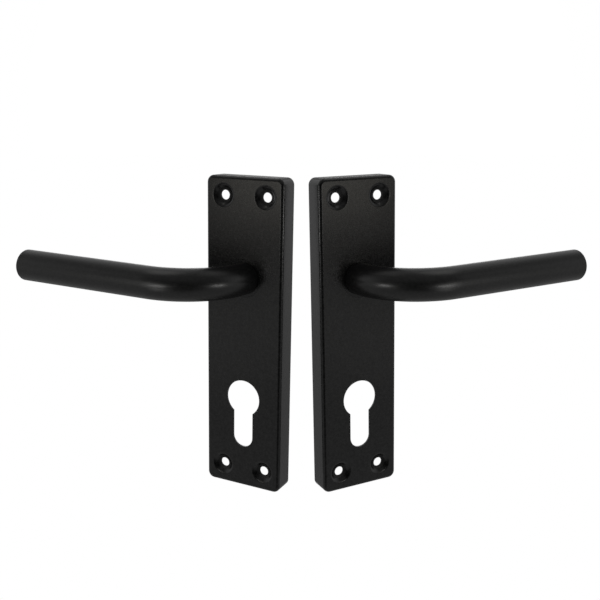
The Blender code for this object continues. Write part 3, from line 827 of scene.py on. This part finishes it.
def screw_mesh(place):
    """Pan-head screw with a cross recess, its head towards the back."""
    head_r = HEAD_DIAMETER / 2
    corners = [
        (0.0, SCREW_HIGH.z, 0),
        (SCREW_R, SCREW_HIGH.z, SHEET_ROUND),
        (SCREW_R, HEAD_FRONT, 0),
        (head_r, HEAD_FRONT, SHEET_ROUND),
        (head_r, SCREW_LOW.z, HEAD_ROUND),
        (0.0, SCREW_LOW.z, 0),
    ]
    blank = turned_mesh("cover_screw", rounded(corners), FINE_STEPS)
    turns = (RECESS_TURN, RECESS_TURN + math.pi / 2)
    steps = [("DIFFERENCE", recess_cutter(turn)) for turn in turns]
    screw = carved_mesh("cover_screw", blank, steps)
    screw.transform(Matrix.Translation((*place, 0.0)))
    return screw


def new_finish(name, metallic):
    """An empty finish: its material, its shader and the object's own coordinates."""
    material = bpy.data.materials.new(name)
    material.use_nodes = True
    nodes = material.node_tree.nodes
    shader = nodes["Principled BSDF"]
    shader.inputs["Metallic"].default_value = metallic
    return material, shader, nodes.new("ShaderNodeTexCoord")


def link(material, output, target):
    material.node_tree.links.new(output, target)


def noise(material, coordinates, scale, detail=NOISE_DETAIL, stretch=None):
    """Noise in cycles per metre, stretched along an axis where asked."""
    nodes = material.node_tree.nodes
    texture = nodes.new("ShaderNodeTexNoise")
    texture.inputs["Scale"].default_value = scale
    texture.inputs["Detail"].default_value = detail
    if stretch:
        mapping = nodes.new("ShaderNodeMapping")
        mapping.inputs["Scale"].default_value = stretch
        link(material, coordinates, mapping.inputs["Vector"])
        coordinates = mapping.outputs["Vector"]
    link(material, coordinates, texture.inputs["Vector"])
    return texture.outputs["Fac"]


def spread(material, value, low, high):
    """A noise value brought between two limits."""
    ranged = material.node_tree.nodes.new("ShaderNodeMapRange")
    ranged.inputs["From Min"].default_value = NOISE_LOW
    ranged.inputs["From Max"].default_value = NOISE_HIGH
    ranged.inputs["To Min"].default_value = low
    ranged.inputs["To Max"].default_value = high
    link(material, value, ranged.inputs["Value"])
    return ranged.outputs["Result"]


def tint(material, value, dark, light):
    """A colour between two, chosen by a noise value."""
    mix = material.node_tree.nodes.new("ShaderNodeMix")
    mix.data_type = "RGBA"
    mix.inputs["A"].default_value = (*dark, 1.0)
    mix.inputs["B"].default_value = (*light, 1.0)
    link(material, spread(material, value, 0.0, 1.0), mix.inputs["Factor"])
    return mix.outputs["Result"]


def relief(material, height, depth, under=None):
    """Bump of a real depth in metres, laid over another one where given."""
    bump = material.node_tree.nodes.new("ShaderNodeBump")
    bump.inputs["Distance"].default_value = depth
    link(material, height, bump.inputs["Height"])
    if under:
        link(material, under, bump.inputs["Normal"])
    return bump.outputs["Normal"]


def dressed(material, shader, colour, gloss, normal):
    """The finish with its colour, roughness and relief joined to its shader."""
    link(material, colour, shader.inputs["Base Color"])
    link(material, gloss, shader.inputs["Roughness"])
    link(material, normal, shader.inputs["Normal"])
    return material


def coating_finish(name, rough, specks, grain, waves):
    """Satin black coating: fine speckle and grain over a slight orange peel, with uneven gloss."""
    material, shader, place = new_finish(name, metallic=0.0)
    at = place.outputs["Object"]
    fine = noise(material, at, COAT_GRAIN_SCALE)
    peel = noise(material, at, COAT_PEEL_SCALE)
    speckle = noise(material, at, COAT_SPECK_SCALE)
    colour = tint(material, speckle, (COAT_GREY - specks,) * 3, (COAT_GREY + specks,) * 3)
    gloss = spread(material, peel, rough - COAT_SPREAD, rough + COAT_SPREAD)
    normal = relief(material, fine, grain, relief(material, peel, waves))
    return dressed(material, shader, colour, gloss, normal)


def nylon_finish():
    """Black nylon with a fine grain."""
    material, shader, place = new_finish("black_nylon", metallic=0.0)
    at = place.outputs["Object"]
    fine = noise(material, at, NYLON_GRAIN_SCALE, FINE_DETAIL)
    cloud = noise(material, at, NYLON_CLOUD_SCALE)
    colour = tint(material, cloud, NYLON_DARK, NYLON_LIGHT)
    gloss = spread(material, cloud, NYLON_ROUGH - NYLON_SPREAD, NYLON_ROUGH + NYLON_SPREAD)
    return dressed(material, shader, colour, gloss, relief(material, fine, NYLON_GRAIN))


def wire_finish():
    """Dark drawn wire with fine lines along its length."""
    material, shader, place = new_finish("spring_steel_wire", metallic=1.0)
    drawn = noise(material, place.outputs["UV"], 1.0, stretch=WIRE_LINES)
    cloud = noise(material, place.outputs["Object"], WIRE_CLOUD_SCALE)
    colour = tint(material, cloud, WIRE_DARK, WIRE_LIGHT)
    gloss = spread(material, drawn, WIRE_ROUGH - WIRE_SPREAD, WIRE_ROUGH + WIRE_SPREAD)
    return dressed(material, shader, colour, gloss, relief(material, drawn, WIRE_GRAIN))


def steel_finish(name, dark, light, rough, stretch):
    """Plated or bright steel with faint rolling lines and cloudy plating."""
    material, shader, place = new_finish(name, metallic=1.0)
    at = place.outputs["Object"]
    lines = noise(material, at, STEEL_LINE_SCALE, stretch=stretch)
    cloud = noise(material, at, STEEL_CLOUD_SCALE, FINE_DETAIL)
    colour = tint(material, cloud, dark, light)
    gloss = spread(material, lines, rough - STEEL_SPREAD, rough + STEEL_SPREAD)
    return dressed(material, shader, colour, gloss, relief(material, lines, STEEL_GRAIN))


COATING = coating_finish(
    "black_coating_satin", rough=0.31, specks=0.004, grain=0.004 * MM, waves=0.008 * MM
)
PLATE_COATING = coating_finish(
    "black_coating_plate", rough=0.25, specks=0.009, grain=0.002 * MM, waves=0.005 * MM
)
CAST_COATING = coating_finish(
    "black_coating_cast", rough=0.52, specks=0.008, grain=0.03 * MM, waves=0.09 * MM
)
NYLON = nylon_finish()
WIRE = wire_finish()
SPRING_STEEL = steel_finish(
    "spring_steel_flat",
    dark=(0.17, 0.165, 0.16),
    light=(0.27, 0.26, 0.25),
    rough=0.36,
    stretch=(1.0, 1.0, 0.1),
)
PLATED = steel_finish(
    "plated_steel_sheet",
    dark=(0.5, 0.51, 0.52),
    light=(0.62, 0.61, 0.58),
    rough=0.38,
    stretch=(1.0, 1.0, 0.04),
)
BRIGHT = steel_finish(
    "bright_steel_turned",
    dark=(0.56, 0.56, 0.55),
    light=(0.66, 0.66, 0.65),
    rough=0.28,
    stretch=(1.0, 1.0, 0.2),
)


def add_piece(name, mesh, half, slot, *materials):
    """A fine piece in one half, in place of the solid of the same name; it still has to ride."""
    mesh = mesh.copy()
    mesh.name = name
    mesh.transform(half["matrix"] @ Matrix.Diagonal((half["flip"], 1.0, 1.0, 1.0)))
    if half["flip"] < 0:
        mesh.flip_normals()
    for material in materials:
        mesh.materials.append(material)
    mesh.shade_smooth()
    mesh.set_sharp_from_angle(angle=SHARP_FROM)
    piece = bpy.data.objects.new(name + "_fine", mesh)
    bpy.context.scene.collection.objects.link(piece)
    normals = piece.modifiers.new("even_normals", "WEIGHTED_NORMAL")
    normals.keep_sharp = True
    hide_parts(name)
    return piece


def add_pieces():
    fixed = [
        ("backplate", backplate_mesh(), "black_coating", PLATE_COATING, CAST_COATING),
        ("neck_bush", bush_mesh(), "black_nylon", NYLON),
        ("spring_cover", cover_mesh(), "plated_steel", PLATED),
    ]
    moving = [
        ("lever", lever_mesh(), "black_coating", COATING),
        ("thrust_washer", washer_mesh(), "bright_steel", BRIGHT),
        ("drive_plate", drive_plate_mesh(), "plated_steel", PLATED),
        ("circlip", circlip_mesh(), "spring_steel", SPRING_STEEL),
    ]
    spring = spring_mesh()
    screws = [screw_mesh(place) for place in SCREW_PLACES]
    for half in HALVES:
        side = half["name"]
        for kind, mesh, *finish in fixed:
            piece = add_piece(f"{kind}_{side}", mesh, half, *finish)
            half["lit_fixed"].objects.link(piece)
            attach(piece, half["fixed"])
        for kind, mesh, *finish in moving:
            piece = add_piece(f"{kind}_{side}", mesh, half, *finish)
            half["lit_lever"].objects.link(piece)
            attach(piece, half["lever"])
        for index, mesh in enumerate(screws):
            screw = add_piece(f"cover_screw_{side}_{index + 1}", mesh, half, "bright_steel", BRIGHT)
            half["lit_fixed"].objects.link(screw)
            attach(screw, half["fixed"])
        wound = add_piece(f"return_spring_{side}", spring, half, "spring_steel", WIRE)
        half["lit_fixed"].objects.link(wound)
        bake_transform(wound)


def add_floor():
    """Plain white floor that the object's own light doesn't depend on."""
    shape = bmesh.new()
    bmesh.ops.create_grid(shape, x_segments=1, y_segments=1, size=FLOOR_HALF)
    floor = bpy.data.objects.new("floor", finished_mesh(shape, "floor"))
    bpy.context.scene.collection.objects.link(floor)
    material = bpy.data.materials.new("floor_white")
    material.use_nodes = True
    nodes = material.node_tree.nodes
    glow = nodes.new("ShaderNodeEmission")
    glow.inputs["Color"].default_value = WHITE
    link(material, glow.outputs["Emission"], nodes["Material Output"].inputs["Surface"])
    floor.data.materials.append(material)
    floor.visible_diffuse = False
    floor.visible_glossy = False
    floor.visible_shadow = False


def add_world():
    """Surroundings by direction: dim round the camera, brighter elsewhere, and plain white when seen."""
    world = bpy.data.worlds.new("studio")
    world.use_nodes = True
    bpy.context.scene.world = world
    nodes = world.node_tree.nodes
    links = world.node_tree.links
    place = nodes.new("ShaderNodeTexCoord")
    axes = nodes.new("ShaderNodeSeparateXYZ")
    links.new(place.outputs["Generated"], axes.inputs["Vector"])

    def ramp(axis, fade, low, high):
        """A smooth change from one value to another along one axis of the view direction."""
        ranged = nodes.new("ShaderNodeMapRange")
        ranged.interpolation_type = "SMOOTHSTEP"
        for label, value in zip(("From Min", "From Max", "To Min", "To Max"), (*fade, low, high)):
            ranged.inputs[label].default_value = value
        links.new(axes.outputs[axis], ranged.inputs["Value"])
        return ranged.outputs["Result"]

    def join(operation, first, second):
        math_node = nodes.new("ShaderNodeMath")
        math_node.operation = operation
        links.new(first, math_node.inputs[0])
        links.new(second, math_node.inputs[1])
        return math_node.outputs["Value"]

    def towards(value, level, share):
        """A value drawn towards a level by a share."""
        mix = nodes.new("ShaderNodeMix")
        links.new(share, mix.inputs["Factor"])
        links.new(value, mix.inputs["A"])
        mix.inputs["B"].default_value = level
        return mix.outputs["Result"]

    front = ramp("Y", CAMERA_FADE, WORLD_CAMERA, WORLD_FRONT)
    side = ramp("Y", SIDE_FADE, 0.0, WORLD_SIDE)
    behind = ramp("Y", BEHIND_FADE, 0.0, WORLD_BEHIND)
    level = join("ADD", join("ADD", front, side), behind)
    overhead = join("MULTIPLY", ramp("Z", TOP_FADE, 0.0, 1.0), ramp("Y", TOP_BACK_FADE, 1.0, 0.0))
    level = towards(level, WORLD_TOP, overhead)
    below = join("MULTIPLY", ramp("Z", LOW_FADE, 0.0, 1.0), ramp("Y", LOW_FRONT_FADE, 0.0, 1.0))
    level = towards(level, WORLD_LOW, below)
    rays = nodes.new("ShaderNodeLightPath")
    seen = join("MAXIMUM", level, rays.outputs["Is Camera Ray"])
    links.new(seen, nodes["Background"].inputs["Strength"])
    nodes["Background"].inputs["Color"].default_value = WHITE


def add_softbox(
    half, receiver, azimuth, elevation, distance, width, height, radiance, colour=LIGHT_COLOUR
):
    """Area light for some pieces of a half, its place and size in degrees from the object's middle.

    Azimuth 0 is the camera's side and plus is outwards; a radiance of 1 is the white of the picture.
    """
    light = bpy.data.lights.new(half["name"] + "_box", "AREA")
    light.shape = "RECTANGLE"
    light.size = 2 * distance * math.tan(math.radians(width) / 2)
    light.size_y = 2 * distance * math.tan(math.radians(height) / 2)
    light.energy = math.pi * light.size * light.size_y * radiance
    light.color = colour
    side = math.radians(-half["flip"] * azimuth)
    rise = math.radians(elevation)
    way = Vector((math.sin(side) * math.cos(rise), -math.cos(side) * math.cos(rise), math.sin(rise)))
    item = bpy.data.objects.new(light.name, light)
    item.location = (cad_low + cad_high) / 2 + way * distance
    item.rotation_euler = way.to_track_quat("Z", "Y").to_euler()
    item.light_linking.receiver_collection = half[receiver]
    bpy.context.scene.collection.objects.link(item)


def add_lights():
    """Boxes of each half: its lever and its plate have their own, with the same ones overhead."""
    plan = (
        ("lit_lever", LEVER_BOXES),
        ("lit_fixed", PLATE_BOXES),
        ("lit_fixed", TOP_BOXES),
        ("lit_lever", TOP_BOXES),
    )
    for half in HALVES:
        for receiver, boxes in plan:
            for box in boxes:
                add_softbox(half, receiver, *box)


def add_camera():
    camera = bpy.data.cameras.new("camera")
    camera.sensor_width = CAMERA_SENSOR
    camera.lens = CAMERA_LENS
    camera.shift_x = -AXIS_RIGHT_PX / PICTURE_SIZE
    camera.shift_y = -AXIS_UP_PX / PICTURE_SIZE
    item = bpy.data.objects.new("camera", camera)
    middle = sum((half["matrix"].translation for half in HALVES), Vector()) / len(HALVES)
    item.location = middle + Vector((0.0, -CAMERA_BACK, CAMERA_UP))
    item.rotation_euler = (math.pi / 2 - CAMERA_PITCH, 0.0, 0.0)
    bpy.context.scene.collection.objects.link(item)
    bpy.context.scene.camera = item


add_pieces()
add_floor()
add_world()
add_lights()
add_camera()
bpy.context.scene.view_settings.view_transform = "Standard"
